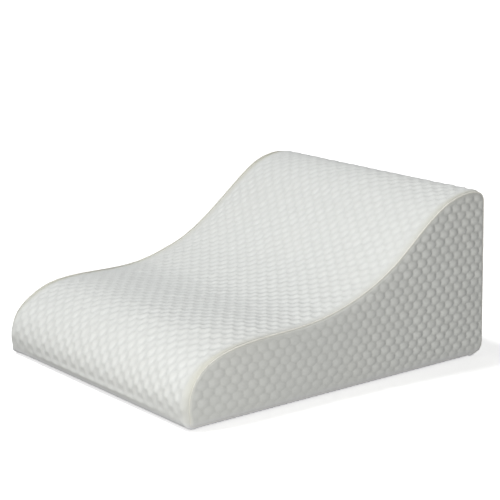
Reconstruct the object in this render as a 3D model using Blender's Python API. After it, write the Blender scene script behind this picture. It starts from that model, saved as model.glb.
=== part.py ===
"""Wedge pillow with a contoured top, modelled the way it is sewn.

The filled body is wrapped lengthwise by one long strip of knitted cloth that runs under the nose, over the
shelf and the ramp, and down the back.  A side panel closes each end and its sewn edge stands up as a thin
ridge beside the strip.  A plain bottom panel lies between the strip's two turned-under hems.

Metres.  +X runs from the nose to the back, +Y to the left side, +Z up.  The origin is the middle of the
pillow's bounding box, on the surface it lies on.
"""

import math

import bmesh
import bpy
import numpy as np
from mathutils import Vector
from mathutils.kdtree import KDTree

# Driving sizes
LENGTH = 0.610
SEAM_TO_SEAM = 0.475
BACK_LEAN = 0.011
FOOT_RADIUS = 0.012
HEEL_RADIUS = 0.020
TOP_BACK_RADIUS = 0.022

# The cover's cloth and how its panels lie on the filled body
CLOTH = 0.0025
GAP = 0.0003
LOW_RIDGE = 0.0012
HEM = 0.010
STRIP_CROWN = 0.0025
CROWN_FULL_HEIGHT = 0.060
SIDE_CROWN = 0.0045
CROWN_POWER = 4

# How far the side edges roll over before they meet the seam, in degrees from the flat
SEAM_TURN = math.radians(78)
BOTTOM_SEAM_HEIGHT = 0.0068

# How finely the shapes are cut
CUTS_PER_SPAN = 2
ARC_CUTS = 2
ROLL_CUTS = 3
MIDDLE_CUTS = 8
PATCH_EASES = 60
WELD = 0.00001
SHARP_ANGLE = math.radians(50)

# Colours and surface
KNIT_COLOUR = (0.80, 0.81, 0.79, 1.0)
PLAIN_COLOUR = (0.60, 0.60, 0.64, 1.0)
CLOTH_ROUGHNESS = 0.92

# The upper outline from the toe to the top of the back, as the right and the left side have it.
# x is the distance behind the nose's foot, z the height, roll the radius of the side edge there, and
# ridge how far the side panel's sewn edge stands up past the seam.
OUTLINE_COLUMNS = ("name", "right_x", "right_z", "left_x", "left_z", "roll", "ridge")
OUTLINE = (
    ("toe", 0.0005, 0.018, -0.003, 0.018, 0.010, 0.0012),
    ("nose", -0.0015, 0.034, -0.005, 0.033, 0.011, 0.0018),
    ("nose_upper", 0.003, 0.056, 0.000, 0.053, 0.011, 0.0030),
    ("nose_turn", 0.014, 0.074, 0.011, 0.070, 0.010, 0.0045),
    ("brow", 0.036, 0.092, 0.034, 0.088, 0.009, 0.0055),
    ("brow_top", 0.070, 0.1045, 0.069, 0.104, 0.0075, 0.0055),
    ("shelf", 0.112, 0.1110, 0.110, 0.1105, 0.006, 0.0048),
    ("shelf_middle", 0.160, 0.1140, 0.159, 0.1115, 0.0045, 0.0038),
    ("dip", 0.206, 0.1155, 0.207, 0.111, 0.003, 0.0030),
    ("rise_foot", 0.252, 0.1210, 0.252, 0.1145, 0.003, 0.0030),
    ("rise", 0.302, 0.1335, 0.302, 0.127, 0.0025, 0.0027),
    ("ramp_low", 0.352, 0.1530, 0.352, 0.146, 0.0025, 0.0027),
    ("ramp", 0.400, 0.1805, 0.400, 0.1765, 0.0025, 0.0027),
    ("ramp_high", 0.440, 0.2120, 0.440, 0.2075, 0.003, 0.0032),
    ("shoulder_foot", 0.476, 0.2410, 0.476, 0.2370, 0.005, 0.0045),
    ("shoulder", 0.512, 0.2630, 0.512, 0.2620, 0.007, 0.0058),
    ("crest", 0.550, 0.2740, 0.550, 0.2740, 0.008, 0.0062),
)
CREST_HEIGHT = 0.2765
PATCH_CORNER = "nose_turn"
BACK_ROLL = 0.010
CORNER_RIDGE = 0.0050


def clear_scene():
    for thing in list(bpy.data.objects):
        bpy.data.objects.remove(thing)


def material(name, colour):
    cloth = bpy.data.materials.new(name)
    cloth.use_nodes = True
    shader = cloth.node_tree.nodes["Principled BSDF"]
    shader.inputs["Base Color"].default_value = colour
    shader.inputs["Roughness"].default_value = CLOTH_ROUGHNESS
    shader.inputs["Metallic"].default_value = 0.0
    cloth.diffuse_color = colour
    return cloth


def arc(centre_x, centre_z, radius, start, end, roll, ridges):
    """Points (x, z, roll, ridge) on a round corner, from one angle to another, in degrees."""
    points = []
    for step in range(2 * ARC_CUTS + 1):
        share = step / (2 * ARC_CUTS)
        turn = math.radians(start + (end - start) * share)
        x, z = centre_x + radius * math.cos(turn), centre_z + radius * math.sin(turn)
        points.append((x, z, roll, ridges[0] + (ridges[1] - ridges[0]) * share))
    return points


def straight(first, last, cuts):
    """Points between two others, without either of them."""
    return [tuple(a + (b - a) * step / cuts for a, b in zip(first, last)) for step in range(1, cuts)]


def curve_through(before, points, after, cuts):
    """A smooth curve through the points, each span cut evenly, from the first point to the last."""
    knots = [Vector(p) for p in (before, *points, after)]
    slopes = []
    for a, b, c in zip(knots, knots[1:], knots[2:]):
        near, far = (b - a).length, (c - b).length
        slopes.append(((b - a) * far / near + (c - b) * near / far) / (near + far))
    inner = knots[1:-1]
    curve = [inner[0]]
    for a, b, leave, arrive in zip(inner, inner[1:], slopes, slopes[1:]):
        span = (b - a).length
        for step in range(1, cuts + 1):
            t = step / cuts
            start_part = a * (2 * t**3 - 3 * t**2 + 1) + leave * span * (t**3 - 2 * t**2 + t)
            end_part = b * (3 * t**2 - 2 * t**3) + arrive * span * (t**3 - t**2)
            curve.append(start_part + end_part)
    return [tuple(p) for p in curve]


def outline(side):
    """The closed outline of one side as four runs of points: front, top, back and bottom.

    Each run ends where the next begins, at the middle of a round corner, so that the side
    can be filled by a four-sided patch.  Opposite runs have equally many points.
    """
    rows = [dict(zip(OUTLINE_COLUMNS, row)) for row in OUTLINE]
    points = [(row[side + "_x"], row[side + "_z"], row["roll"], row["ridge"]) for row in rows]
    corner_row = [row["name"] for row in rows].index(PATCH_CORNER)
    hem_roll = BOTTOM_SEAM_HEIGHT / (1 - math.cos(SEAM_TURN))
    recess = CLOTH + GAP
    recess_roll = (BOTTOM_SEAM_HEIGHT - recess) / (1 - math.cos(SEAM_TURN))

    foot_x = points[0][0] + FOOT_RADIUS
    low = (LOW_RIDGE, LOW_RIDGE)
    foot = arc(foot_x, FOOT_RADIUS, FOOT_RADIUS, 270, 180, points[0][2], low)
    back_top_x = LENGTH - BACK_LEAN
    corner_x, corner_z = back_top_x - TOP_BACK_RADIUS, CREST_HEIGHT - TOP_BACK_RADIUS
    top_corner = arc(corner_x, corner_z, TOP_BACK_RADIUS, 90, 0, BACK_ROLL, (CORNER_RIDGE, LOW_RIDGE))
    heel_x = LENGTH - HEEL_RADIUS
    heel = arc(heel_x, HEEL_RADIUS, HEEL_RADIUS, 0, -90, BACK_ROLL, low)
    foot[0] = (foot_x, 0.0, hem_roll, LOW_RIDGE)
    heel[-1] = (heel_x, 0.0, hem_roll, LOW_RIDGE)

    upper = curve_through(foot[-2], [*points, top_corner[0]], top_corner[1], CUTS_PER_SPAN)
    corner_index = corner_row * CUTS_PER_SPAN
    front = foot[ARC_CUTS:-1] + upper[: corner_index + 1]
    top = upper[corner_index:] + top_corner[1 : ARC_CUTS + 1]
    back_cuts = len(front) - 1 - 2 * ARC_CUTS
    back = (
        top_corner[ARC_CUTS:]
        + straight(top_corner[-1], heel[0], back_cuts)
        + heel[: ARC_CUTS + 1]
    )
    recess_back = (heel_x - HEM - recess, recess, recess_roll, LOW_RIDGE)
    recess_front = (foot_x + HEM + recess, recess, recess_roll, LOW_RIDGE)
    bottom_cuts = len(top) - 1 - 2 * ARC_CUTS - 4
    bottom = (
        heel[ARC_CUTS:]
        + [(heel_x - HEM, 0.0, hem_roll, LOW_RIDGE), recess_back]
        + straight(recess_back, recess_front, bottom_cuts)
        + [recess_front, (foot_x + HEM, 0.0, hem_roll, LOW_RIDGE)]
        + foot[: ARC_CUTS + 1]
    )
    return [front, top, back, bottom]


def closed_ring(runs):
    """The four runs as one closed ring, each point once."""
    return [point for run in runs for point in run[:-1]]


def outward_normals(ring):
    """The direction square to the ring at each point, away from the inside."""
    normals = []
    for before, after in zip(ring[-1:] + ring[:-1], ring[1:] + ring[:1]):
        along = Vector((after[0] - before[0], 0.0, after[1] - before[1])).normalized()
        normals.append(Vector((-along.z, 0.0, along.x)))
    return normals


class Skin:
    """The pillow's outer surface, as stations across the width of points round the outline."""

    def __init__(self):
        self.runs = {side: outline(side) for side in ("right", "left")}
        self.rings = {side: closed_ring(runs) for side, runs in self.runs.items()}
        self.normals = {side: outward_normals(ring) for side, ring in self.rings.items()}
        self.count = len(self.rings["right"])
        self.edge = SEAM_TO_SEAM / 2

    def rolled(self, side, index, turn):
        """A point on the rounded side edge, where the surface has turned by this angle."""
        x, z, roll, _ = self.rings[side][index]
        outwards = -1 if side == "right" else 1
        y = outwards * (self.edge - roll * (math.sin(SEAM_TURN) - math.sin(turn)))
        return Vector((x, y, z)) - self.normals[side][index] * roll * (1 - math.cos(turn))

    def across(self, index, share):
        """A point between the two rounded edges, with the crown of the filled body."""
        right, left = (self.rolled(side, index, 0.0) for side in ("right", "left"))
        lies_on_floor = right.z < CLOTH + 2 * GAP
        lift = 0.0 if lies_on_floor else min(1.0, right.z / CROWN_FULL_HEIGHT)
        crown = STRIP_CROWN * lift * (1 - (2 * share - 1) ** 2)
        return right.lerp(left, share) + self.normals["right"][index] * crown

    def stations(self):
        """One function for each station across the width; each takes an index round the outline."""
        turns = [SEAM_TURN * (1 - step / ROLL_CUTS) for step in range(ROLL_CUTS)]
        right = [lambda index, turn=turn: self.rolled("right", index, turn) for turn in turns]
        shares = [step / MIDDLE_CUTS for step in range(MIDDLE_CUTS + 1)]
        middle = [lambda index, share=share: self.across(index, share) for share in shares]
        left = [lambda index, turn=turn: self.rolled("left", index, turn) for turn in reversed(turns)]
        return right + middle + left

    def side_patch(self, side):
        """The net of points that fills the seam's outline with its crown, and its columns and rows."""
        seam = [self.rolled(side, index, SEAM_TURN) for index in range(self.count)]
        runs, start = [], 0
        for run in self.runs[side]:
            runs.append(np.array([seam[(start + step) % self.count] for step in range(len(run))]))
            start += len(run) - 1
        front, top, back, bottom = runs[0], runs[1], runs[2][::-1], runs[3][::-1]
        columns, rows = len(top) - 1, len(front) - 1
        u = np.linspace(0, 1, columns + 1)[:, None, None]
        v = np.linspace(0, 1, rows + 1)[None, :, None]
        sides = bottom[:, None] * (1 - v) + top[:, None] * v + front[None] * (1 - u) + back[None] * u
        corners = (bottom[0] * (1 - u) + bottom[-1] * u) * (1 - v) + (top[0] * (1 - u) + top[-1] * u) * v
        net = sides - corners
        for _ in range(PATCH_EASES):
            around = net[2:, 1:-1] + net[:-2, 1:-1] + net[1:-1, 2:] + net[1:-1, :-2]
            net[1:-1, 1:-1] = around / 4
        outwards = -1 if side == "right" else 1
        crown = SIDE_CROWN * (1 - (2 * u - 1) ** CROWN_POWER) * (1 - (2 * v - 1) ** CROWN_POWER)
        net[:, :, 1] += outwards * crown[:, :, 0]
        return net, columns, rows


def add_grid(mesh, columns, rows, place):
    """Adds a grid primitive and lays each of its points where place(column, row) says."""
    for vert in bmesh.ops.create_grid(mesh, x_segments=columns, y_segments=rows, size=0.5)["verts"]:
        column = round((vert.co.x + 0.5) * columns)
        row = round((vert.co.y + 0.5) * rows)
        vert.co = place(column, row)


def finish(mesh, name, cloth, collection):
    """Welds the grids, turns the faces outwards and makes the object."""
    bmesh.ops.remove_doubles(mesh, verts=mesh.verts, dist=WELD)
    bmesh.ops.recalc_face_normals(mesh, faces=mesh.faces)
    data = bpy.data.meshes.new(name)
    mesh.to_mesh(data)
    mesh.free()
    data.materials.append(cloth)
    data.shade_smooth()
    data.set_sharp_from_angle(angle=SHARP_ANGLE)
    thing = bpy.data.objects.new(name, data)
    collection.objects.link(thing)
    return thing


def filled_body(skin, cloth, collection):
    """The foam-filled body in its lengthwise strip, with a crowned face at each side."""
    mesh = bmesh.new()
    stations = skin.stations()
    add_grid(
        mesh, skin.count, len(stations) - 1, lambda column, row: stations[row](column % skin.count)
    )
    for side in ("right", "left"):
        net, columns, rows = skin.side_patch(side)
        add_grid(mesh, columns, rows, lambda column, row, net=net: net[column, row])
    return finish(mesh, "filled_body", cloth, collection)


def side_panel(skin, side, cloth, collection):
    """A side panel: a sheet on the crowned side, whose sewn edge stands past the strip as a ridge."""
    mesh = bmesh.new()
    net, columns, rows = skin.side_patch(side)
    outwards = Vector((0.0, -1.0 if side == "right" else 1.0, 0.0))
    add_grid(mesh, columns, rows, lambda column, row: Vector(net[column, row]) + outwards * GAP)

    seam = KDTree(skin.count)
    for index in range(skin.count):
        seam.insert(skin.rolled(side, index, SEAM_TURN), index)
    seam.balance()
    rim = [edge for edge in mesh.edges if edge.is_boundary]
    ridge = bmesh.ops.extrude_edge_only(mesh, edges=rim)["geom"]
    for vert in ridge:
        if isinstance(vert, bmesh.types.BMVert):
            nearest = seam.find(vert.co)[1]
            vert.co += skin.normals[side][nearest] * skin.rings[side][nearest][3]
    sheet = bmesh.ops.extrude_face_region(mesh, geom=mesh.faces[:])["geom"]
    outer = [item for item in sheet if isinstance(item, bmesh.types.BMVert)]
    bmesh.ops.translate(mesh, verts=outer, vec=outwards * CLOTH)
    return finish(mesh, "side_panel_" + side, cloth, collection)


def bottom_panel(skin, cloth, collection):
    """The plain panel under the body, between the strip's two hems."""
    bottom_run = skin.runs["right"][3]
    hem_ends = [point[0] for point in bottom_run if abs(point[1] - CLOTH - GAP) < WELD]
    front, back = min(hem_ends) + GAP, max(hem_ends) - GAP
    half_width = skin.edge - BOTTOM_SEAM_HEIGHT / 2
    mesh = bmesh.new()
    bmesh.ops.create_cube(mesh, size=1.0)
    bmesh.ops.scale(mesh, verts=mesh.verts, vec=(back - front, 2 * half_width, CLOTH))
    bmesh.ops.translate(mesh, verts=mesh.verts, vec=((front + back) / 2, 0.0, CLOTH / 2))
    return finish(mesh, "bottom_panel", cloth, collection)


def centre_on_origin(things):
    """Moves the pillow so that the origin is the middle of its length."""
    ends = [vert.co.x for thing in things for vert in thing.data.vertices]
    for thing in things:
        thing.location.x = -(min(ends) + max(ends)) / 2


def main():
    clear_scene()
    collection = bpy.data.collections.new("wedge_pillow")
    bpy.context.scene.collection.children.link(collection)
    knit = material("bubble_knit", KNIT_COLOUR)
    plain = material("plain_bottom_cloth", PLAIN_COLOUR)
    skin = Skin()
    things = [
        filled_body(skin, knit, collection),
        side_panel(skin, "right", knit, collection),
        side_panel(skin, "left", knit, collection),
        bottom_panel(skin, plain, collection),
    ]
    centre_on_origin(things)


main()
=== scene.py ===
# %% [markdown]
# A contoured wedge pillow: a block of foam with a low nose, a shallow dip and a curved ramp, in a white
# knitted cover. The cover is what the eye reads: thousands of small soft bubbles in staggered rows, one fine
# raised seam along each side, and broad rounded edges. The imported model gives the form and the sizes. This
# script reads them as sections of the frame, and then lays new, much finer cloth over the same form.

# %% Load the frame
import math

import bmesh
import bpy
import numpy as np
from mathutils import Matrix, Vector
from mathutils.kdtree import KDTree


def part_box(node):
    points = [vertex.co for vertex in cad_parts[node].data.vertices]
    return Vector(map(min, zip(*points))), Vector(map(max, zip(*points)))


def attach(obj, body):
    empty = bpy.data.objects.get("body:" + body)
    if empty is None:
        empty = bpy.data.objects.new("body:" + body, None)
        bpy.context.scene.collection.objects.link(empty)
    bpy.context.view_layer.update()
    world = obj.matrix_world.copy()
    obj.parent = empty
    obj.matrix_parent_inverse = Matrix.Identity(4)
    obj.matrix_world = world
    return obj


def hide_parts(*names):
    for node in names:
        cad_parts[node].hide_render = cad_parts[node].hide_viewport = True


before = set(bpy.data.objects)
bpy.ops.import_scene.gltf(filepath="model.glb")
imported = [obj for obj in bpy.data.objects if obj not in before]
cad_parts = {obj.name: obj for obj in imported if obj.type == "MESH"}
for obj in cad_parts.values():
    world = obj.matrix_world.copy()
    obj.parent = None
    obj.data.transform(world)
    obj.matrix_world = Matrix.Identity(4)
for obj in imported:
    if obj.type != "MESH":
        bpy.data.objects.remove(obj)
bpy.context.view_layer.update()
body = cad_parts["filled_body"]

# %% [markdown]
# The camera comes first, so that every piece can be judged from it. The photograph was taken with a long
# lens, from in front of the pillow's right side and a little above it. Turning a camera first by its tilt
# and then by its heading keeps the two angles readable; the small roll is the photograph's own.

# %% Camera
CAMERA_PLACE = (-1.4801, -1.8214, 0.7363)
HEADING = math.radians(39.17)
TILT_DOWN = math.radians(13.49)
ROLL = math.radians(0.48)
PHOTO_PIXELS = 500
FOCAL_PIXELS = 1497.0
SENSOR = 36.0

lens = bpy.data.cameras.new("photo_view")
lens.sensor_width = SENSOR
lens.lens = FOCAL_PIXELS / PHOTO_PIXELS * SENSOR
camera = bpy.data.objects.new("photo_view", lens)
turn = Matrix.Rotation(-HEADING, 4, "Z") @ Matrix.Rotation(math.pi / 2 - TILT_DOWN, 4, "X")
camera.matrix_world = Matrix.Translation(CAMERA_PLACE) @ turn @ Matrix.Rotation(ROLL, 4, "Z")
bpy.context.scene.collection.objects.link(camera)
bpy.context.scene.camera = camera
print("camera:", round(lens.lens, 1), "mm lens")

# %% [markdown]
# The studio is a pale floor in a bright white room, because photographs for a shop are lit so that the
# background burns out. A floor this white would throw half of its light back up into the shades, which the
# photograph doesn't show, so it is hidden from light that bounces. It glows a little for the camera, like a
# light table, and that keeps the shadow on it pale.

# %% White floor
FLOOR_SIZE = 40.0
FLOOR_DROP = 0.0005
PAPER = (0.97, 0.97, 0.97, 1)
WHITE = (1.0, 1.0, 1.0, 1)
TABLE_GLOW = 0.55
bpy.context.scene.view_settings.view_transform = "Standard"
bpy.context.scene.view_settings.look = "None"


def flat_floor():
    mesh = bmesh.new()
    bmesh.ops.create_grid(mesh, x_segments=1, y_segments=1, size=FLOOR_SIZE / 2)
    bmesh.ops.translate(mesh, verts=mesh.verts, vec=(0, 0, -FLOOR_DROP))
    data = bpy.data.meshes.new("floor")
    mesh.to_mesh(data)
    mesh.free()
    floor = bpy.data.objects.new("floor", data)
    bpy.context.scene.collection.objects.link(floor)
    paper = bpy.data.materials.new("white_paper")
    paper.use_nodes = True
    sheet = paper.node_tree.nodes["Principled BSDF"].inputs
    sheet["Base Color"].default_value = PAPER
    sheet["Roughness"].default_value = 1.0
    sheet["Emission Color"].default_value = WHITE
    sheet["Emission Strength"].default_value = TABLE_GLOW
    data.materials.append(paper)
    floor.visible_diffuse = False


flat_floor()
print("floor:", FLOOR_SIZE, "m wide")

# %% [markdown]
# The main light comes softly from above, a little from the left and from behind, so each bubble on the top
# has its shade on the near right side. A low lamp at the left grazes the right side of the pillow and gives
# every bubble there a bright left rim. A weaker light keeps the back from going dark, and the sky fills the
# rest. A Light Path node shows the camera a white sky that is bright only to look at.

# %% Lights and sky
SUN_PLACE = (0, 0, 3)
SUN_FROM = (-0.32, 0.28, 0.905)
SUN_STRENGTH = 2.05
SUN_DISK = math.radians(14)
BACK_FROM = (0.68, 0.68, 0.27)
BACK_STRENGTH = 0.55
BACK_DISK = math.radians(60)
LAMP_PLACE = (-2.15, -2.20, 0.38)
LAMP_WIDTH = 0.4
LAMP_WATTS = 52.0
LAMP_COLOUR = (1.0, 0.985, 0.935)
PILLOW_MIDDLE = (0.0, 0.0, 0.10)
SKY_FILL = 0.20
SKY_SEEN = 1.0


def placed_light(light, place, towards_light):
    """Puts a light at its place, turned so that it shines against the given direction."""
    thing = bpy.data.objects.new(light.name, light)
    thing.location = place
    thing.rotation_euler = Vector(towards_light).to_track_quat("Z", "Y").to_euler()
    bpy.context.scene.collection.objects.link(thing)


def soft_sun(name, towards, strength, disk):
    sun = bpy.data.lights.new(name, "SUN")
    sun.energy = strength
    sun.angle = disk
    placed_light(sun, SUN_PLACE, towards)


def soft_lamp(name, place, width, watts, colour):
    lamp = bpy.data.lights.new(name, "AREA")
    lamp.shape = "DISK"
    lamp.size = width
    lamp.energy = watts
    lamp.color = colour
    placed_light(lamp, place, Vector(place) - Vector(PILLOW_MIDDLE))


def white_sky():
    sky = bpy.data.worlds.new("sky")
    sky.use_nodes = True
    nodes, links = sky.node_tree.nodes, sky.node_tree.links
    ray = nodes.new("ShaderNodeLightPath")
    strength = nodes.new("ShaderNodeMapRange")
    strength.inputs["To Min"].default_value = SKY_FILL
    strength.inputs["To Max"].default_value = SKY_SEEN
    links.new(ray.outputs["Is Camera Ray"], strength.inputs["Value"])
    links.new(strength.outputs["Result"], nodes["Background"].inputs["Strength"])
    nodes["Background"].inputs["Color"].default_value = WHITE
    bpy.context.scene.world = sky


soft_sun("main_light", SUN_FROM, SUN_STRENGTH, SUN_DISK)
soft_sun("back_light", BACK_FROM, BACK_STRENGTH, BACK_DISK)
soft_lamp("side_light", LAMP_PLACE, LAMP_WIDTH, LAMP_WATTS, LAMP_COLOUR)
white_sky()
print("light: two soft suns, a lamp and the sky")

# %% [markdown]
# Before any cloth is cut, the form is measured as lines. A line here is an array of points, and these few
# helpers say how long its pieces are, how far along it each point lies, what lies between two points, and
# how to space the points evenly. The cloth is laid with them later as well.

# %% Helpers for lines


def pieces(line):
    """The lengths of the straight pieces between a line's points."""
    return np.linalg.norm(np.diff(line, axis=0), axis=1)


def travelled(line):
    """How far along the line each of its points lies."""
    return np.concatenate([[0], np.cumsum(pieces(line))])


def read_between(values, known, wanted):
    """Values that are known at some places along their first axis, read at other places."""
    flat = values.reshape(len(values), -1)
    read = np.stack([np.interp(wanted, known, flat[:, k]) for k in range(flat.shape[1])], 1)
    return read.reshape((len(wanted),) + values.shape[1:])


def read_net(net, known_columns, known_rows, columns, rows):
    """A net of values read between its own points, first along it and then across."""
    along = read_between(net, known_columns, columns)
    return read_between(along.transpose(1, 0, 2), known_rows, rows).transpose(1, 0, 2)


def spaced(line, count, with_end=False):
    """The line in this many even steps, with or without its last point."""
    known = travelled(line)
    return read_between(line, known, np.linspace(0, known[-1], count + with_end, endpoint=with_end))


def eased(line, spread):
    """A closed line under a soft average that keeps its corners' size."""

    def average(values):
        reach = max(1, int(3 * spread))
        weights = np.exp(-0.5 * (np.arange(-reach, reach + 1) / spread) ** 2)
        parts = [w * np.roll(values, s, axis=0) for w, s in zip(weights, range(-reach, reach + 1))]
        return sum(parts) / weights.sum()

    soft = average(line)
    return soft + average(line - soft)


corner = np.array([[0.0, 0.0], [3.0, 0.0], [3.0, 4.0]])
print("lines: a corner of 3 and 4 is", travelled(corner)[-1], "long")

# %% [markdown]
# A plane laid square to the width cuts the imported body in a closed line, and that line is the outline there.
# bmesh's bisect_plane makes the cut, the cut edges are walked into a loop, and the loop is spaced evenly
# between its own landmarks: the nose, the top of the back and the heel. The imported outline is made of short
# straight pieces, so it is eased with a soft average, and what the average takes off the corners is given
# back by easing the difference as well.

# %% Cut an outline out of the frame
WELD = 0.00001
SAME_POINT = 1e-6
AROUND = 900
LANDMARKS = ((-1.0, -0.15), (1.0, 1.0), (1.0, -1.0))
RUN_SHARES = (0.19, 0.465, 0.155, 0.19)
FLOOR_BAND = 0.004
EASE = 0.0055


def welded_copy(node):
    """A frame node as one joined mesh, because the node itself is loose triangles."""
    mesh = bmesh.new()
    mesh.from_mesh(node.data)
    bmesh.ops.remove_doubles(mesh, verts=mesh.verts, dist=WELD)
    return mesh


def section(node, y):
    """The longest closed line in which the plane at this y cuts a node, as points (x, z)."""
    mesh = welded_copy(node)
    everything = mesh.verts[:] + mesh.edges[:] + mesh.faces[:]
    cut = bmesh.ops.bisect_plane(mesh, geom=everything, plane_co=(0, y, 0), plane_no=(0, 1, 0))
    edges = {item for item in cut["geom_cut"] if isinstance(item, bmesh.types.BMEdge)}
    loops = []
    while edges:
        edge = edges.pop()
        start, here = edge.verts
        loop = [start, here]
        while True:
            onward = next((e for e in here.link_edges if e in edges), None)
            if onward is None:
                break
            edges.remove(onward)
            here = onward.other_vert(here)
            loop.append(here)
        loops.append(np.array([(v.co.x, v.co.z) for v in loop]))
    mesh.free()
    return max(loops, key=lambda loop: pieces(loop).sum())


def clockwise(loop):
    """The loop without its repeated end, running from the floor up over the nose to the back."""
    loop = loop[:-1] if np.allclose(loop[0], loop[-1], atol=SAME_POINT) else loop
    x, z = loop.T
    signed = (x * np.roll(z, -1) - np.roll(x, -1) * z).sum()
    return loop[::-1] if signed > 0 else loop


def outline(node, y, ease=EASE):
    """The outline at this y as AROUND points, spaced between the landmarks, from the middle of the floor."""
    loop = clockwise(section(node, y))
    low = loop[:, 1] < loop[:, 1].min() + FLOOR_BAND
    middle = np.flatnonzero(low)[np.argmin(np.abs(loop[low, 0]))]
    loop = np.roll(loop, -middle, axis=0)
    marks = [0] + [int(np.argmax(loop @ np.array(way))) for way in LANDMARKS]
    closed = np.vstack([loop, loop[:1]])
    counts = [round(AROUND * share) for share in RUN_SHARES]
    ends = marks[1:] + [len(loop)]
    points = np.vstack([spaced(closed[a : b + 1], n) for a, b, n in zip(marks, ends, counts)])
    return eased(points, ease / pieces(points).mean())


print("cut: each outline has", AROUND, "points between", len(LANDMARKS), "landmarks")

# %% [markdown]
# Five outlines of the body are enough: one just inside each seam, one 14 mm further in, where the rounded
# edge has turned flat, and one beside the middle. No cut runs exactly through a seam or the middle, because
# the frame has points of its own there.

# %% Five outlines
HALF_SEAM = 0.475 / 2
ROLLED = 0.014
INSIDE_SEAM = 0.0001
BESIDE_MIDDLE = 0.001
lines = {
    "right_seam": outline(body, -HALF_SEAM + INSIDE_SEAM),
    "right": outline(body, -HALF_SEAM + ROLLED),
    "middle": outline(body, BESIDE_MIDDLE),
    "left": outline(body, HALF_SEAM - ROLLED),
    "left_seam": outline(body, HALF_SEAM - INSIDE_SEAM),
}
for name, line in lines.items():
    print("outline:", name, len(line), "points, x", line[:, 0].min().round(3), line[:, 0].max().round(3))

# %% [markdown]
# Foam under a snug cover is never quite flat between its seams: the cover is cut a little small at the edges
# and the faces swell. Blender's cloth solver gives that swell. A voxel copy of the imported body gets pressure
# from inside and no gravity, while a vertex group holds it where the seams and the floor hold the real one,
# and no point may move by more than 4 mm. The result is only used as a shape to lay the fine cloth on, so
# its own faces can stay coarse.

# %% Swell the filling
VOXEL = 0.009
PRESSURE = 4.0
SOLVER_STEPS = 4
SWELL_FRAMES = 20
MOST_SWELL = 0.004
HELD_BY_SEAM = 0.016
HELD_BY_FLOOR = 0.012
TINY = 1e-9


def swollen(node):
    """The points of the node blown up as cloth, how each moved once capped, and the furthest move."""
    mesh = welded_copy(node)
    data = bpy.data.meshes.new("filling")
    mesh.to_mesh(data)
    mesh.free()
    filling = bpy.data.objects.new("filling", data)
    bpy.context.scene.collection.objects.link(filling)
    remesh = filling.modifiers.new("voxels", "REMESH")
    remesh.mode = "VOXEL"
    remesh.voxel_size = VOXEL
    graph = bpy.context.evaluated_depsgraph_get()
    filling.data = bpy.data.meshes.new_from_object(filling.evaluated_get(graph))
    filling.modifiers.clear()
    rest = np.array([v.co for v in filling.data.vertices])
    held = (np.abs(rest[:, 1]) > HALF_SEAM - HELD_BY_SEAM) | (rest[:, 2] < HELD_BY_FLOOR)
    group = filling.vertex_groups.new(name="held")
    group.add([int(i) for i in np.flatnonzero(held)], 1.0, "REPLACE")
    cloth = filling.modifiers.new("swell", "CLOTH")
    cloth.settings.vertex_group_mass = "held"
    cloth.settings.use_pressure = True
    cloth.settings.uniform_pressure_force = PRESSURE
    cloth.settings.effector_weights.gravity = 0.0
    cloth.settings.quality = SOLVER_STEPS
    cloth.point_cache.frame_start = 1
    cloth.point_cache.frame_end = SWELL_FRAMES
    for at in range(1, SWELL_FRAMES + 1):
        bpy.context.scene.frame_set(at)
    graph = bpy.context.evaluated_depsgraph_get()
    moved = np.array([v.co for v in filling.evaluated_get(graph).data.vertices]) - rest
    bpy.context.scene.frame_set(1)
    bpy.data.objects.remove(filling)
    length = np.linalg.norm(moved, axis=1)
    capped = moved * np.minimum(1.0, MOST_SWELL / np.maximum(length, TINY))[:, None]
    return rest, capped, length.max()


filling_points, filling_swell = np.zeros((1, 3)), np.zeros((1, 3))
filling_points, filling_swell, furthest = swollen(body)
print("swell:", len(filling_points), "points, furthest", round(float(furthest) * 1000, 1), "mm")

# %% [markdown]
# The fine cloth asks for the swell at places of its own, so the coarse points go into a KDTree, which finds
# the nearest ones quickly, and each place takes a mean of them that favours the closest.

# %% Read the swell anywhere
NEAREST = 6


def tree_of(points):
    """A tree that finds the nearest of these points."""
    tree = KDTree(len(points))
    for number, point in enumerate(points):
        tree.insert(Vector(point), number)
    tree.balance()
    return tree


swell_tree = tree_of(filling_points)


def swell_at(points):
    """The swell near each point, as a soft mean of the nearest points of the filling."""
    found = []
    for point in points:
        near = swell_tree.find_n(Vector(point), NEAREST)
        weights = np.array([1.0 / (n[2] + VOXEL) for n in near])
        found.append((filling_swell[[n[1] for n in near]] * weights[:, None]).sum(0) / weights.sum())
    return np.array(found)


print("swell: each place reads its", NEAREST, "nearest points")

# %% [markdown]
# The bubbles are what make this cloth. Two layers of knit are joined only along the grooves between
# bubbles, and the filling yarn lifts the face layer into low oval domes. Their centres are a staggered
# lattice with 20 mm steps along the pillow and 12.6 mm between rows. Squeezed to that ratio the lattice is a
# plain triangular one, so the distance to the nearest centre gives every dome in one formula. A slow warp
# keeps the rows from looking printed, and each dome gets a place and a height slightly its own.

# %% Bubble relief
BUBBLE_STEP = 0.0202
ROW_STEP = 0.0126
BUBBLE_HEIGHT = 0.0027
SUNK_SHARE = 0.5
GROOVE_AT = 0.56
DOME_POWER = 2.0
SLOW_WARP = 0.0011
SLOW_TURNS = (23, 9)
QUICK_WARP = 0.0008
QUICK_TURNS = (31, 7)
WARP_ALONG = 0.7
SCATTER = 0.10
SMALLEST = 0.82
SIZE_RANGE = 0.36
FAR_OFF = 9.0
HASH_TURNS = (127.1, 311.7, 74.7)
HASH_REACH = 43758.5453
SAMPLE_SIDE = 0.2
SAMPLE_POINTS = 400


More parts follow.
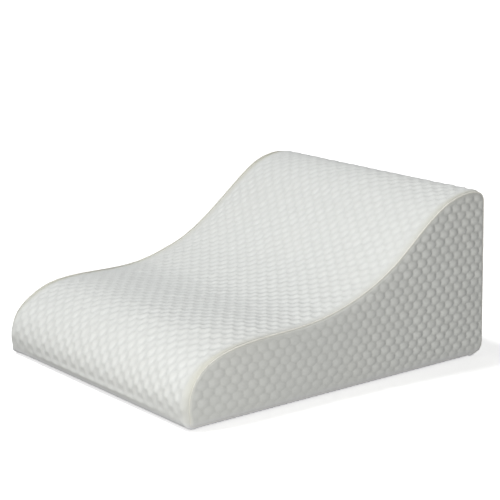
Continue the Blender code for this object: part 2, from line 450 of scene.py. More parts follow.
def hashed(a, b, salt):
    """A steady number from 0 to 1 for each pair of whole numbers."""
    mixed = np.sin(a * HASH_TURNS[0] + b * HASH_TURNS[1] + salt * HASH_TURNS[2]) * HASH_REACH
    return mixed - np.floor(mixed)


def bubbles(along, across, skew=0.0, lean=0.0, salt=0.0):
    """The height of the bubble cloth, from 0 in the grooves to about 1, at flat places in metres."""
    slow = np.sin(along * SLOW_TURNS[0] + across * SLOW_TURNS[1] + salt)
    quick = np.sin(across * QUICK_TURNS[0] - along * QUICK_TURNS[1])
    warp = SLOW_WARP * slow + QUICK_WARP * quick
    u = (along + across * lean + WARP_ALONG * warp) / BUBBLE_STEP
    v = (across + along * skew + warp) / ROW_STEP
    best = np.full(u.shape, FAR_OFF)
    size = np.ones(u.shape)
    row_near = np.floor(v)
    for row in (row_near - 1, row_near, row_near + 1, row_near + 2):
        shift = 0.5 * np.mod(row, 2)
        for column in (np.floor(u - shift), np.floor(u - shift) + 1):
            side = (hashed(column, row, salt + 1) - 0.5) * SCATTER
            rise = (hashed(column, row, salt + 2) - 0.5) * SCATTER
            du = u - shift - column - side
            dv = (v - row - rise) * math.sqrt(3) / 2
            reach = np.hypot(du, dv)
            nearer = reach < best
            best = np.where(nearer, reach, best)
            size = np.where(nearer, SMALLEST + SIZE_RANGE * hashed(column, row, salt + 3), size)
    dome = 1 - np.clip(best / GROOVE_AT, 0, 1) ** DOME_POWER
    return dome * size


sample_line = np.linspace(0, SAMPLE_SIDE, SAMPLE_POINTS)
sample = bubbles(*np.meshgrid(sample_line, sample_line, indexing="ij"))
print("bubbles: mean height", sample.mean().round(2), "highest", sample.max().round(2))

# %% [markdown]
# Bubbles, swell and colours all change softly over the cloth, never with a hard line. A ramp is a step with
# round ends, and at_least keeps a part of what it takes away. Where bubbles fade, the cloth is smooth, and
# its tone is the one between a groove and a dome.

# %% Soft steps
SMOOTH_TONE = 0.6


def ramp(value, low, high):
    """A soft step from 0 at low to 1 at high."""
    share = np.clip((value - low) / (high - low), 0, 1)
    return share * share * (3 - 2 * share)


def at_least(least, share):
    """A share from 0 to 1, squeezed so that it starts from least."""
    return least + (1 - least) * share


def tone(relief, fade):
    """What the material sees of the bubbles."""
    return relief * fade + (1 - fade) * SMOOTH_TONE


print("soft steps: half-way is", float(ramp(0.5, 0, 1)))

# %% [markdown]
# A panel is cut as a flat grid with bmesh, and then each of its points is laid on the form. The grid keeps
# its flat place as a UV map in metres, so the knit in the material follows the cloth round every bend, and
# the bubble height and the closeness of a seam are kept as attributes, which colour the cloth. An open
# sheet gets its thickness by extruding its edge to the plane behind it.

# %% Lay a grid of cloth
SHARP_EDGE = math.radians(60)


def laid_grid(places, flat, **looks):
    """A mesh from create_grid whose point (i, j) lies at places[i, j], with its flat place and its looks."""
    columns, rows = places.shape[0] - 1, places.shape[1] - 1
    mesh = bmesh.new()
    bmesh.ops.create_grid(mesh, x_segments=columns, y_segments=rows, size=0.5)
    uv = mesh.loops.layers.uv.new("cloth")
    layers = {name: mesh.verts.layers.float.new(name) for name in looks}
    for vert in mesh.verts:
        i = round((vert.co.x + 0.5) * columns)
        j = round((vert.co.y + 0.5) * rows)
        vert.co = places[i, j]
        for name, layer in layers.items():
            vert[layer] = looks[name][i, j]
        for loop in vert.link_loops:
            loop[uv].uv = flat[i, j]
    return mesh


def open_edges(mesh):
    return [edge for edge in mesh.edges if edge.is_boundary]


def turn_edge(mesh, axis, place):
    """Extrudes the open edge of a sheet to one place on an axis, which shows as its thickness."""
    for item in bmesh.ops.extrude_edge_only(mesh, edges=open_edges(mesh))["geom"]:
        if isinstance(item, bmesh.types.BMVert):
            item.co[axis] = place


def finished(mesh, name, *cad_nodes, slot="bubble_knit"):
    """Welds, closes the ends and turns the faces outwards, then makes the piece ride on the frame."""
    bmesh.ops.remove_doubles(mesh, verts=mesh.verts, dist=WELD)
    bmesh.ops.holes_fill(mesh, edges=open_edges(mesh), sides=0)
    bmesh.ops.recalc_face_normals(mesh, faces=mesh.faces)
    data = bpy.data.meshes.new(name)
    mesh.to_mesh(data)
    mesh.free()
    data.shade_smooth()
    data.set_sharp_from_angle(angle=SHARP_EDGE)
    piece = bpy.data.objects.new(name, data)
    bpy.context.scene.collection.objects.link(piece)
    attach(piece, "root")
    if cad_nodes:
        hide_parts(*cad_nodes)
    data.calc_loop_triangles()
    print(name + ":", len(data.loop_triangles), "triangles")
    return piece


patch = laid_grid(np.zeros((4, 3, 3)), np.zeros((4, 3, 2)))
print("grid: 4 by 3 points have", len(patch.faces), "faces")
patch.free()

# %% [markdown]
# The long strip is one piece that wraps the form lengthwise: under the nose, over the shelf and the ramp,
# down the back, with its ends turned under. The mesh goes on round the underside as one closed sleeve, which
# the bottom cloth hides. Its columns are close where it shows and few where it doesn't.

# %% Columns of the strip
STRIP_COLUMNS = 436
HIDDEN_COLUMNS = 26
SHOWN_BEFORE_NOSE = 22
SHOWN_AFTER_HEEL = 24

visible_from = round(AROUND * RUN_SHARES[0]) - SHOWN_BEFORE_NOSE
visible_to = round(AROUND * sum(RUN_SHARES[:3])) + SHOWN_AFTER_HEEL
picked = np.concatenate([
    np.linspace(0, visible_from, HIDDEN_COLUMNS // 2, endpoint=False),
    np.linspace(visible_from, visible_to, STRIP_COLUMNS, endpoint=False),
    np.linspace(visible_to, AROUND, HIDDEN_COLUMNS // 2 + 1),
])


def at_columns(values):
    """A quantity round the outline, read at the strip's columns."""
    closed = np.concatenate([values, values[:1]])
    return read_between(closed, np.arange(AROUND + 1), picked)


middle_line = at_columns(lines["middle"])
print("strip:", len(picked), "columns,", travelled(middle_line)[-1].round(3), "m round the middle")

# %% [markdown]
# Each long edge of the strip is sewn to a side panel, and how deep that seam lies under the rounded edge
# says how wide the edge rolls: wide at the nose and the shoulder, tight along the ramp. The depth is read
# from the frame, as the way from one outline down to the next along its normals. The panel's own rim is
# read too, because the sewn edge stands up to it.

# %% Seams and rims of the frame
GAP = 0.0003
CLOTH = 0.0025
RIM_EASE = 0.003
LEAST_DEPTH = 0.0008
MOST_DEPTH = 0.012
DEPTH_EASE = 6


def outline_normals(line):
    along = np.roll(line, -1, axis=0) - np.roll(line, 1, axis=0)
    along /= np.linalg.norm(along, axis=1, keepdims=True)
    return np.stack([-along[:, 1], along[:, 0]], 1)


def side_profile(side):
    """The near outline, its normals and how deep the seam lies under it, read at the strip's columns."""
    near, seam = lines[side], lines[side + "_seam"]
    normals = outline_normals(near)
    depth = np.clip(-((seam - near) * normals).sum(1), LEAST_DEPTH, MOST_DEPTH)
    return at_columns(near), at_columns(normals), at_columns(eased(depth, DEPTH_EASE))


def panel_rim(side, hand):
    """The outline of a side panel, which the cloth of that side is cut to."""
    return outline(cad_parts["side_panel_" + side], hand * (HALF_SEAM + GAP + CLOTH / 2), ease=RIM_EASE)


right_rim, left_rim = panel_rim("right", -1), panel_rim("left", 1)
right_line, right_normals, right_depth = side_profile("right")
left_line, left_normals, left_depth = side_profile("left")
print("seam depth:", (right_depth.min() * 1000).round(1), "to", (right_depth.max() * 1000).round(1), "mm")

# %% [markdown]
# At each side the strip turns down to its seam in nearly a quarter turn of cloth round the foam's soft edge.
# Where the panel's rim stands above the seam, the last rows rise to it as a small ridge, with a shallow
# trough beside it that the stitches pull in. Near the floor the roll is narrower, because the pillow's
# weight presses the edge square.

# %% Rolled sides
SEAM_TURN = math.radians(78)
ROLL_ROWS = 10
SEAM_SINK = 0.0005
FULL_RIDGE = 0.005
RIDGE_MEAN = 13
TROUGH = 0.0016
FLOOR_TUCK = 0.45
FLOOR_ROLL = (0.004, 0.014)

roll_reach = math.sin(SEAM_TURN) / (1 - math.cos(SEAM_TURN))
turns = np.linspace(SEAM_TURN, 0, ROLL_ROWS, endpoint=False)
rolls, inner_edges, ridge_shares = [], [], []
for side, line, normals, depth, rim, hand in (
    ("right", right_line, right_normals, right_depth, right_rim, -1),
    ("left", left_line, left_normals, left_depth, left_rim, 1),
):
    rim_depth = -((at_columns(rim) - line) * normals).sum(1) + SEAM_SINK
    ridge = np.clip(depth - rim_depth, 0, FULL_RIDGE)
    weights = np.ones(RIDGE_MEAN) / RIDGE_MEAN
    ridge = np.convolve(np.pad(ridge, RIDGE_MEAN // 2, mode="edge"), weights, "valid")
    tuck = 1 - (1 - FLOOR_TUCK) * (1 - ramp(line[:, 1], *FLOOR_ROLL))
    radius = depth / (1 - math.cos(SEAM_TURN))
    inwards = radius[:, None] * (math.sin(SEAM_TURN) - np.sin(turns))
    y = hand * (HALF_SEAM - inwards * tuck[:, None])
    sink = radius[:, None] * (1 - np.cos(turns)) * ((depth - ridge) / depth)[:, None]
    part = inwards / inwards.max(1, keepdims=True)
    dip = (4 * part * (1 - part)) * (ridge / FULL_RIDGE * TROUGH)[:, None]
    xz = line[:, None] - normals[:, None] * (sink + dip)[:, :, None]
    rolls.append(np.stack([xz[:, :, 0], y, xz[:, :, 1]], 2))
    inner_edges.append(hand * (HALF_SEAM - depth * roll_reach * tuck))
    ridge_shares.append(ridge[:, None] / FULL_RIDGE)
    lowest, highest = (ridge.min() * 1000).round(1), (ridge.max() * 1000).round(1)
    print("seam ridge on the", side + ":", lowest, "to", highest, "mm")

# %% [markdown]
# Between the two rolls the cloth spans from side to side on a low arch, which is as high as the frame's own
# crown and flat on the floor. When the whole strip is laid, its flat size is measured along it and across
# it, as a tailor would measure the cloth.

# %% Middle of the strip
STRIP_ROWS = 168
ON_FLOOR = 0.010 / 3
MOST_CROWN = 0.004

crown = ((middle_line - (right_line + left_line) / 2) * right_normals).sum(1)
crown = np.where(middle_line[:, 1] < ON_FLOOR, 0, np.clip(crown, 0, MOST_CROWN))
share = np.linspace(0, 1, STRIP_ROWS + 1)
y_right, y_left = inner_edges
y_middle = y_right[:, None] * (1 - share) + y_left[:, None] * share
xz_middle = right_line[:, None] * (1 - share)[:, None] + left_line[:, None] * share[:, None]
arch = (1 - (2 * share - 1) ** 2)[None, :, None] * crown[:, None, None] * right_normals[:, None]
xz_middle = xz_middle + arch
middle = np.stack([xz_middle[:, :, 0], y_middle, xz_middle[:, :, 1]], 2)
strip = np.concatenate([rolls[0], middle, rolls[1][:, ::-1]], 1)

columns, rows = strip.shape[:2]
length_along = travelled(middle_line)
steps_across = np.linalg.norm(np.diff(strip, axis=1), axis=2)
width_across = np.concatenate([np.zeros((columns, 1)), np.cumsum(steps_across, 1)], 1)
width_across -= width_across[:, -1:] / 2
strip_flat = np.stack([np.broadcast_to(length_along[:, None], width_across.shape), width_across], 2)
widest = (width_across.max() * 2).round(3)
print("strip: crown up to", (crown.max() * 1000).round(1), "mm,", widest, "m wide")

# %% [markdown]
# The swell is asked for at every sixth column and row and read between them, which is much quicker and just
# as smooth. It dies out at the seams and on the floor, where the real cloth is held.

# %% Swell of the strip
NET_STEP = 6
SWELL_FROM_SEAM = (0.0, 0.02)
SWELL_FROM_FLOOR = (0.004, 0.02)


def every_few(count):
    """Every NET_STEP-th number below count, and the last one."""
    return np.unique(np.append(np.arange(0, count, NET_STEP), count - 1))


net_columns, net_rows = every_few(columns), every_few(rows)
net = strip[np.ix_(net_columns, net_rows)]
net_swell = swell_at(net.reshape(-1, 3)).reshape(net.shape)
swell = read_net(net_swell, net_columns, net_rows, np.arange(columns), np.arange(rows))
free_of_seam = ramp(HALF_SEAM - np.abs(strip[:, :, 1]), *SWELL_FROM_SEAM)[:, :, None]
free_of_floor = ramp(strip[:, :, 2], *SWELL_FROM_FLOOR)[:, :, None]
strip = strip + swell * free_of_seam * free_of_floor
print("swell: asked for at", net.shape[0] * net.shape[1], "places of", columns * rows)

# %% [markdown]
# The bubbles push the cloth out along its own normal, and half of their height sinks in, so the size stays.
# Sewing flattens them beside a seam, the more so where the edge rolls wide, and the floor flattens them from
# below. A darker warm colour is painted into the trough beside the seam as painted shade, most where the
# ridge stands up.

# %% Bubbles on the strip
STRIP_SKEW = 0.05
LEAST_RELIEF = 0.12
FADE_FROM = 0.003
FADE_TO = 0.019
FLOOR_FADE = (0.004, 0.016)
LOW_RELIEF = 0.3
LOW_BAND = (0.010, 0.050)
TROUGH_SHADE_REACH = 0.018
LEAST_TROUGH_SHADE = 0.1
NO_LENGTH = 1e-12


def normals_of(places):
    """The direction out of a grid of places, from its two ways along."""
    along = np.gradient(places, axis=0)
    across = np.gradient(places, axis=1)
    out = np.cross(across, along)
    return out / np.maximum(np.linalg.norm(out, axis=2, keepdims=True), NO_LENGTH)


flat_from_seam = width_across[:, -1:] - np.abs(width_across)
seam_depth = np.where(np.arange(rows) < rows // 2, right_depth[:, None], left_depth[:, None])
near_ridge = np.where(width_across < 0, ridge_shares[0], ridge_shares[1])
# painted shade: a darker warm colour in the trough beside the seam, strongest where the ridge stands up
trough_shade = (1 - ramp(flat_from_seam, 0.0, TROUGH_SHADE_REACH)) * at_least(LEAST_TROUGH_SHADE, near_ridge)
relief = bubbles(strip_flat[:, :, 0], strip_flat[:, :, 1], STRIP_SKEW)
height = strip[:, :, 2]
fade = at_least(LEAST_RELIEF, ramp(flat_from_seam, FADE_FROM, FADE_TO + seam_depth))
fade = fade * ramp(height, *FLOOR_FADE) * at_least(LOW_RELIEF, ramp(height, *LOW_BAND))
strip = strip + normals_of(strip) * ((relief - SUNK_SHARE) * fade * BUBBLE_HEIGHT)[:, :, None]
strip[:, :, 2] = np.maximum(strip[:, :, 2], 0.0)
strip_mesh = laid_grid(strip, strip_flat, relief=tone(relief, fade), seam=trough_shade)
strip_piece = finished(strip_mesh, "long_strip", "filled_body")

# %% [markdown]
# A side panel is a sheet with a curved outline, so a plain grid has to be bent to fill it. Its outline is
# split at four corners into a front, a top, a back and a bottom, and a blend of the four gives each grid
# point a first place. Letting every point drift to the middle of its neighbours, first on a coarse net and
# then on the fine one, opens the crowded corners.

# %% Fill an outline with a net
PANEL_COLUMNS, PANEL_ROWS = 384, 144
COARSE_COLUMNS, COARSE_ROWS = 64, 24
COARSE_DRIFTS, FINE_DRIFTS = 200, 60
NET_EDGES = (np.s_[0, :], np.s_[-1, :], np.s_[:, 0], np.s_[:, -1])


def drifted(net, times):
    """The net after each inner point has moved this often to the middle of its four neighbours."""
    for _ in range(times):
        around = net[2:, 1:-1] + net[:-2, 1:-1] + net[1:-1, 2:] + net[1:-1, :-2]
        net[1:-1, 1:-1] = around / 4
    return net


def filled_net(front, top, back, bottom, columns, rows):
    """A net of points between four lines: front and back run up, top and bottom run backwards."""
    front, back = spaced(front, rows, with_end=True), spaced(back, rows, with_end=True)
    top, bottom = spaced(top, columns, with_end=True), spaced(bottom, columns, with_end=True)
    u = np.linspace(0, 1, columns + 1)[:, None, None]
    v = np.linspace(0, 1, rows + 1)[None, :, None]
    lines_blend = bottom[:, None] * (1 - v) + top[:, None] * v + front[None] * (1 - u) + back[None] * u
    corner_blend = (bottom[0] * (1 - u) + bottom[-1] * u) * (1 - v) + (top[0] * (1 - u) + top[-1] * u) * v
    return lines_blend - corner_blend


def panel_places(rim):
    """The flat places (x, z) of a side panel's grid."""
    x, z = rim.T
    foot, nose, top_back, heel = (int(np.argmax(way)) for way in (-x - z, -x + z, x + z, x - z))
    front, top, back = rim[foot : nose + 1], rim[nose : top_back + 1], rim[top_back : heel + 1][::-1]
    bottom = np.vstack([rim[heel:], rim[: foot + 1]])[::-1]
    coarse = drifted(filled_net(front, top, back, bottom, COARSE_COLUMNS, COARSE_ROWS), COARSE_DRIFTS)
    exact = filled_net(front, top, back, bottom, PANEL_COLUMNS, PANEL_ROWS)
    columns = np.linspace(0, COARSE_COLUMNS, PANEL_COLUMNS + 1)
    rows = np.linspace(0, COARSE_ROWS, PANEL_ROWS + 1)
    fine = read_net(coarse, np.arange(COARSE_COLUMNS + 1), np.arange(COARSE_ROWS + 1), columns, rows)
    for edge in NET_EDGES:
        fine[edge] = exact[edge]
    return drifted(fine, FINE_DRIFTS)


def distance_to(rim, places):
    """How far each place of a net lies from the rim, with its own edge on the rim."""
    tree = tree_of(np.pad(rim, ((0, 0), (0, 1))))
    far = np.array([tree.find((x, z, 0))[2] for x, z in places.reshape(-1, 2)]).reshape(places.shape[:2])
    for edge in NET_EDGES:
        far[edge] = 0
    return far


print("net: a side panel has", PANEL_COLUMNS, "by", PANEL_ROWS, "faces")

# %% [markdown]
# The cloth of a side is cut to that net. It is thin at the rim, where the seam pinches it, rounds up to its
# full thickness and bellies out a little with the foam behind it. The bubbles are read at the true flat
# places, so they don't bend with the grid. They are fullest towards the back, where the foam is highest and
# the cloth least stretched, and lower towards the nose.

# %% The side panels
RIM_CLOTH = 0.0009
RIM_ROUND = 0.0035
SIDE_CROWN = 0.0045
CROWN_POWER = 4
SIDE_LEAN = 0.06
SIDE_SALT = 5.0
SIDE_BUBBLE_BACK = 1.45
SIDE_BUBBLE_FRONT = 0.45
FRONT_TO_BACK = (-0.08, 0.24)
LEAST_AT_RIM = 0.15
RIM_FADE = (0.002, 0.010)
LEAST_LOW_DOWN = 0.55
LOW_DOWN = (0.008, 0.035)
SEAM_SHADE = 0.3
SEAM_SHADE_REACH = (0.0005, 0.005)


def side_panel(side, hand, rim):
    """The cloth of one side, with hand -1 for the right and 1 for the left."""
    flat = panel_places(rim)
    x, z = flat[:, :, 0], flat[:, :, 1]
    from_rim = distance_to(rim, flat)
    u = np.linspace(0, 1, PANEL_COLUMNS + 1)[:, None]
    v = np.linspace(0, 1, PANEL_ROWS + 1)[None, :]
    crown = SIDE_CROWN * (1 - (2 * u - 1) ** CROWN_POWER) * (1 - (2 * v - 1) ** CROWN_POWER)
    rounded = 1 - (1 - np.clip(from_rim / RIM_ROUND, 0, 1)) ** 2
    y = HALF_SEAM + GAP + RIM_CLOTH + (CLOTH - RIM_CLOTH) * rounded + crown
    relief = bubbles(x, z, lean=SIDE_LEAN, salt=SIDE_SALT + hand)
    fade = at_least(LEAST_AT_RIM, ramp(from_rim, *RIM_FADE))
    fade = fade * at_least(LEAST_LOW_DOWN, ramp(z, *LOW_DOWN))
    fullness = SIDE_BUBBLE_FRONT + (SIDE_BUBBLE_BACK - SIDE_BUBBLE_FRONT) * ramp(x, *FRONT_TO_BACK)
    y = y + (relief - SUNK_SHARE) * fade * fullness * BUBBLE_HEIGHT
    places = np.stack([x, hand * y, z], 2)
    shade = (1 - ramp(from_rim, *SEAM_SHADE_REACH)) * SEAM_SHADE
    mesh = laid_grid(places, flat, relief=tone(relief, fade), seam=shade)
    turn_edge(mesh, 1, hand * (HALF_SEAM + GAP))
    piece = finished(mesh, "side_cloth_" + side, "side_panel_" + side)
    return piece


right_cloth = side_panel("right", -1, right_rim)
left_cloth = side_panel("left", 1, left_rim)

# %% [markdown]
# Where two panels are sewn, their edges are bound together in a narrow overlocked seam, which stands up as
# a thin light cord along the side. A closed curve with a round bevel is the natural tool. The thread's
# turns show as tiny knots, so the radius pulses along the way. The cord is fullest along the top, finer
# over the nose, and finest down the back and along the floor.

# %% Seam cords
SEAM_RADIUS = 0.0012
LOW_SEAM_SHARE = 0.32
NOSE_SEAM_SHARE = 0.18
SEAM_RISES = (0.015, 0.06)
SEAM_ENDS = (0.292, 0.304)
NOSE_SEAM = (-0.285, -0.20)
STITCH = 0.0030
STITCH_PULSE = 0.10
SEAM_POINT_STEP = 0.0010


def seam_cord(side, hand, rim):
    """The cord of one side, as the mesh of a bevelled curve."""
    closed = np.vstack([rim, rim[:1]])
    length = pieces(closed).sum()
    count = round(length / SEAM_POINT_STEP)
    line = spaced(closed, count, with_end=True)[:-1]
    curve = bpy.data.curves.new("seam_" + side, "CURVE")
    curve.dimensions = "3D"
    curve.bevel_depth = SEAM_RADIUS
    curve.bevel_resolution = 1
    spline = curve.splines.new("POLY")
    spline.points.add(count - 1)
    spline.use_cyclic_u = True
    y = hand * (HALF_SEAM + GAP + RIM_CLOTH)
    places = np.stack([line[:, 0], np.full(count, y), line[:, 1], np.ones(count)], 1)
    along = np.arange(count) * length / count
    pulse = 1 + STITCH_PULSE * np.sin(along / STITCH * 2 * math.pi)
    on_top = ramp(line[:, 1], *SEAM_RISES) * (1 - ramp(line[:, 0], *SEAM_ENDS))
    on_top = on_top * at_least(NOSE_SEAM_SHARE, ramp(line[:, 0], *NOSE_SEAM))
    radius = pulse * at_least(LOW_SEAM_SHARE, on_top)
    spline.points.foreach_set("co", places.astype(np.float32).ravel())
    spline.points.foreach_set("radius", radius.astype(np.float32))
    cord = bpy.data.objects.new("seam_curve", curve)
    bpy.context.scene.collection.objects.link(cord)
    graph = bpy.context.evaluated_depsgraph_get()
    mesh = bmesh.new()
    mesh.from_mesh(bpy.data.meshes.new_from_object(cord.evaluated_get(graph)))
    bpy.data.objects.remove(cord)
    return finished(mesh, "seam_" + side)


right_seam = seam_cord("right", -1, right_rim)
left_seam = seam_cord("left", 1, left_rim)

# %% [markdown]
# Shader maths reads best as ordinary expressions. The first class below wraps a socket, so that adding or
# multiplying two of them adds a Math node. The second holds one material, and its method called node makes
# any other node, with short names for the few that come back often.

# %% A small language for shaders
FACTOR = 2
OBJECT_PLACE = 3
MIX_SHARE, MIX_LOW, MIX_HIGH, MIX_COLOUR = 0, 6, 7, 2


class Value:
    """A number or a colour that a shader works out at each point."""

    def __init__(self, recipe, socket):
        self.recipe, self.socket = recipe, socket

    def _math(self, operation, *values):
        return self.recipe.node("ShaderNodeMath", {"operation": operation}, list(values))

    def __add__(self, other):
        return self._math("ADD", self, other)

    def __sub__(self, other):
        return self._math("SUBTRACT", self, other)

    def __rsub__(self, other):
        return self._math("SUBTRACT", other, self)

    def __mul__(self, other):
        return self._math("MULTIPLY", self, other)

    def __pow__(self, other):
        return self._math("POWER", self, other)

    __radd__ = __add__
    __rmul__ = __mul__

    def wave(self):
        return self._math("SINE", self)


class Recipe:
    """One material and its nodes."""

    def __init__(self, name):
        self.material = bpy.data.materials.new(name)
        self.material.use_nodes = True
        self.nodes = self.material.node_tree.nodes
        self.links = self.material.node_tree.links
        self.shader = self.nodes["Principled BSDF"]

    def put(self, socket, value):
        if isinstance(value, Value):
            self.links.new(value.socket, socket)
        else:
            socket.default_value = value

    def node(self, kind, settings=None, inputs=None, out=0):
        made = self.nodes.new(kind)
        for key, value in (settings or {}).items():
            setattr(made, key, value)
        pairs = inputs.items() if isinstance(inputs, dict) else enumerate(inputs or [])
        for key, value in pairs:
            self.put(made.inputs[key], value)
        return Value(self, made.outputs[out])

    def mixed(self, share, low, high):
        """One colour turning to another as share goes from 0 to 1."""
        inputs = {MIX_SHARE: share, MIX_LOW: low, MIX_HIGH: high}
        return self.node("ShaderNodeMix", {"data_type": "RGBA"}, inputs, out=MIX_COLOUR)

    def noise(self, place, scale, detail=2.0):
        return self.node("ShaderNodeTexNoise", {}, {"Vector": place, "Scale": scale, "Detail": detail})

    def attribute(self, name):
        return self.node("ShaderNodeAttribute", {"attribute_name": name}, out=FACTOR)

    def axes(self, vector):
        """The three numbers of a vector."""
        parts = self.node("ShaderNodeSeparateXYZ", {}, {"Vector": vector}).socket.node.outputs
        return [Value(self, part) for part in parts]

    def bump(self, height, depth, strength=1.0):
        return self.node("ShaderNodeBump", {}, {"Strength": strength, "Distance": depth, "Height": height})


# %% [markdown]
# The bubble knit is a matt white yarn with a faint cool cast. Up close it is a fine rib: upright wales
# crossed by shorter courses, which two waves on the cloth's own UV give, one bending the other. The grooves
# are painted a little greyer as shade. Slow patches are a touch warmer, the seams get a darker warm painted
# shade, and the foot by the floor a cooler, slightly lighter colour, painted in as light in the shade there.

# %% Bubble knit
KNIT_HIGH = (0.735, 0.750, 0.740, 1)
KNIT_SHADED = (0.662, 0.677, 0.664, 1)
KNIT_WARM = (0.735, 0.733, 0.700, 1)
SEAM_PAINTED_SHADE = (0.560, 0.555, 0.475, 1)
FOOT_PAINTED_LIGHT = (0.760, 0.765, 0.810, 1)
WALE = 0.00125
COURSE = 0.00095
WALE_SHARE, COURSE_SHARE = 0.6, 0.4
COURSE_BEND = 0.9
WANDER, WANDER_SCALE = 0.6, 160.0
FLUFF, FLUFF_SCALE, FLUFF_DETAIL = 0.5, 900.0, 3.0
PATCH_SCALE, PATCH_START, PATCH_SHARE = 7.0, 0.45, 0.5
DOME_TONE = 0.7
YARN_SHADE = 0.16
SEAM_SHARE = 0.8
FOOT_PAINTED_LIGHT_SHARE = 0.8
YARN_DEPTH = 0.00016
KNIT_ROUGHNESS, YARN_GLOSS = 0.95, -0.08


def bubble_knit():
    knit = Recipe("bubble_knit")
    cloth = knit.node("ShaderNodeUVMap", {"uv_map": "cloth"})
    along, across, _ = knit.axes(cloth)
    relief = knit.attribute("relief")
    wander = knit.noise(cloth, WANDER_SCALE) * WANDER
    wales = (across * (2 * math.pi / WALE) + wander).wave()
    courses = (along * (2 * math.pi / COURSE) + wales * COURSE_BEND).wave()
    yarn = (wales * WALE_SHARE + courses * COURSE_SHARE) * 0.5 + 0.5
    fluff = knit.noise(cloth, FLUFF_SCALE, FLUFF_DETAIL)
    place = knit.node("ShaderNodeTexCoord", out=OBJECT_PLACE)
    patches = knit.noise(place, PATCH_SCALE)
    seam = knit.attribute("seam")
    height = knit.axes(place)[2]
    low = knit.node("ShaderNodeMapRange", {}, [height, FLOOR_ROLL[1], FLOOR_ROLL[0], 0.0, 1.0])
    # painted shade: the grooves between the domes go to a darker white, and so do the low places of the rib
    colour = knit.mixed(relief ** DOME_TONE, KNIT_SHADED, KNIT_HIGH)
    colour = knit.mixed((1 - yarn) * YARN_SHADE, colour, KNIT_SHADED)
    colour = knit.mixed((patches - PATCH_START) * PATCH_SHARE, colour, KNIT_WARM)
    # painted shade: a darker warm colour beside the seams of the strip and of the side panels
    colour = knit.mixed(seam * SEAM_SHARE, colour, SEAM_PAINTED_SHADE)
    # painted light: by the floor a cooler, slightly lighter colour stands in for light in the shade there
    colour = knit.mixed(low * FOOT_PAINTED_LIGHT_SHARE, colour, FOOT_PAINTED_LIGHT)
    knit.put(knit.shader.inputs["Base Color"], colour)
    knit.put(knit.shader.inputs["Roughness"], yarn * YARN_GLOSS + KNIT_ROUGHNESS)
    knit.put(knit.shader.inputs["Normal"], knit.bump(yarn + fluff * FLUFF, YARN_DEPTH))
    knit.shader.inputs["Specular IOR Level"].default_value = 0.25
    knit.shader.inputs["Sheen Weight"].default_value = 0.12
    knit.shader.inputs["Sheen Roughness"].default_value = 0.5
    return knit.material


knit_cloth = bubble_knit()
for piece in (strip_piece, right_cloth, left_cloth):
    piece.data.materials.append(knit_cloth)
print("material: bubble knit on three pieces")

# %% [markdown]
# The seam is sewn with a bright cream thread over the cut edges, and it is a little lighter than the cloth.
# Its turns are real in the mesh, so the material adds only the twist of the thread.

# %% Seam thread
THREAD_LIGHT = (0.86, 0.855, 0.80, 1)
THREAD_DARK = (0.76, 0.75, 0.70, 1)
TWIST_SCALE = 900.0
TWIST_DEPTH = 0.0002
TWIST_STRENGTH = 0.8


def seam_thread():
    thread = Recipe("seam_thread")
    place = thread.node("ShaderNodeTexCoord", out=OBJECT_PLACE)
    twist = thread.noise(place, TWIST_SCALE)
    thread.put(thread.shader.inputs["Base Color"], thread.mixed(twist, THREAD_DARK, THREAD_LIGHT))
    thread.put(thread.shader.inputs["Normal"], thread.bump(twist, TWIST_DEPTH, TWIST_STRENGTH))
    thread.shader.inputs["Roughness"].default_value = 0.8
    thread.shader.inputs["Sheen Weight"].default_value = 0.1
    return thread.material


thread_material = seam_thread()
for piece in (right_seam, left_seam):
    piece.data.materials.append(thread_material)
print("material: seam thread on two cords")

# %% [markdown]
# Underneath lies a plain close-knit cloth, stretched flat between the strip's two hems and sewn to them on a
# machine that draws the edge in. It is a sheet, so a grid is enough: soft ribs run along it, and close to
# the edge the sewing lifts it off the floor in small puckers. Its own edges are extruded up to its upper
# face.

# %% Plain bottom cloth
UNDER_COLUMNS, UNDER_ROWS = 220, 188
RIB_STEP = 0.0100
RIB_DEPTH = 0.00025
EDGE_REACH = 0.007
EDGE_LIFT = 0.0010
PUCKER_STEP = 0.012
PUCKER_LIFT = 0.0004


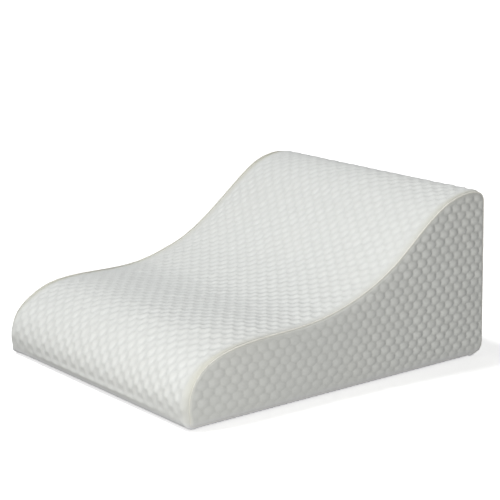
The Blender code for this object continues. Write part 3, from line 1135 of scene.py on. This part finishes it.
def under_cloth():
    """The bottom cloth, laid in the box of the frame's bottom panel."""
    low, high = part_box("bottom_panel")
    columns = np.linspace(low.x, high.x, UNDER_COLUMNS + 1)
    rows = np.linspace(low.y, high.y, UNDER_ROWS + 1)
    x, y = np.meshgrid(columns, rows, indexing="ij")
    from_edge = np.minimum(np.minimum(x - low.x, high.x - x), np.minimum(y - low.y, high.y - y))
    ribs = 0.5 - 0.5 * np.cos(y / RIB_STEP * 2 * math.pi)
    puckers = 0.5 + 0.5 * np.sin(x / PUCKER_STEP * 2 * math.pi) * np.cos(y / PUCKER_STEP * 2 * math.pi)
    near = 1 - ramp(from_edge, 0.0, EDGE_REACH)
    z = ribs * RIB_DEPTH * (1 - near) + near * (EDGE_LIFT + puckers * PUCKER_LIFT)
    mesh = laid_grid(np.stack([x, y, z], 2), np.stack([x, y], 2), seam=near)
    turn_edge(mesh, 2, high.z)
    piece = finished(mesh, "bottom_cloth", "bottom_panel", slot="plain_bottom_cloth")
    return piece


bottom_cloth = under_cloth()

# %% [markdown]
# Its knit is finer than the bubble cloth and has no bubbles: close rows crossed by shorter stitches, in a
# slightly greyer and cooler white, a little darker where the sewing bunches it at the edge.

# %% Plain knit
PLAIN_HIGH = (0.62, 0.62, 0.66, 1)
PLAIN_LOW = (0.50, 0.50, 0.54, 1)
PLAIN_ROW = 0.0016
PLAIN_STITCH = 0.0012
PLAIN_WANDER, PLAIN_WANDER_SCALE = 0.8, 120.0
PLAIN_EDGE_SHADE = 0.4
PLAIN_DEPTH = 0.00015


def plain_cloth():
    plain = Recipe("plain_cloth")
    place = plain.node("ShaderNodeTexCoord", out=OBJECT_PLACE)
    along, across, _ = plain.axes(place)
    wander = plain.noise(place, PLAIN_WANDER_SCALE) * PLAIN_WANDER
    rows = (across * (2 * math.pi / PLAIN_ROW) + wander).wave()
    stitches = (along * (2 * math.pi / PLAIN_STITCH) + rows).wave()
    height = (rows * 0.5 + stitches * 0.5) * 0.5 + 0.5
    colour = plain.mixed(height, PLAIN_LOW, PLAIN_HIGH)
    colour = plain.mixed(plain.attribute("seam") * PLAIN_EDGE_SHADE, colour, PLAIN_LOW)
    plain.put(plain.shader.inputs["Base Color"], colour)
    plain.put(plain.shader.inputs["Normal"], plain.bump(height, PLAIN_DEPTH))
    plain.shader.inputs["Roughness"].default_value = 0.93
    return plain.material


bottom_cloth.data.materials.append(plain_cloth())
print("material: plain knit on the bottom cloth")
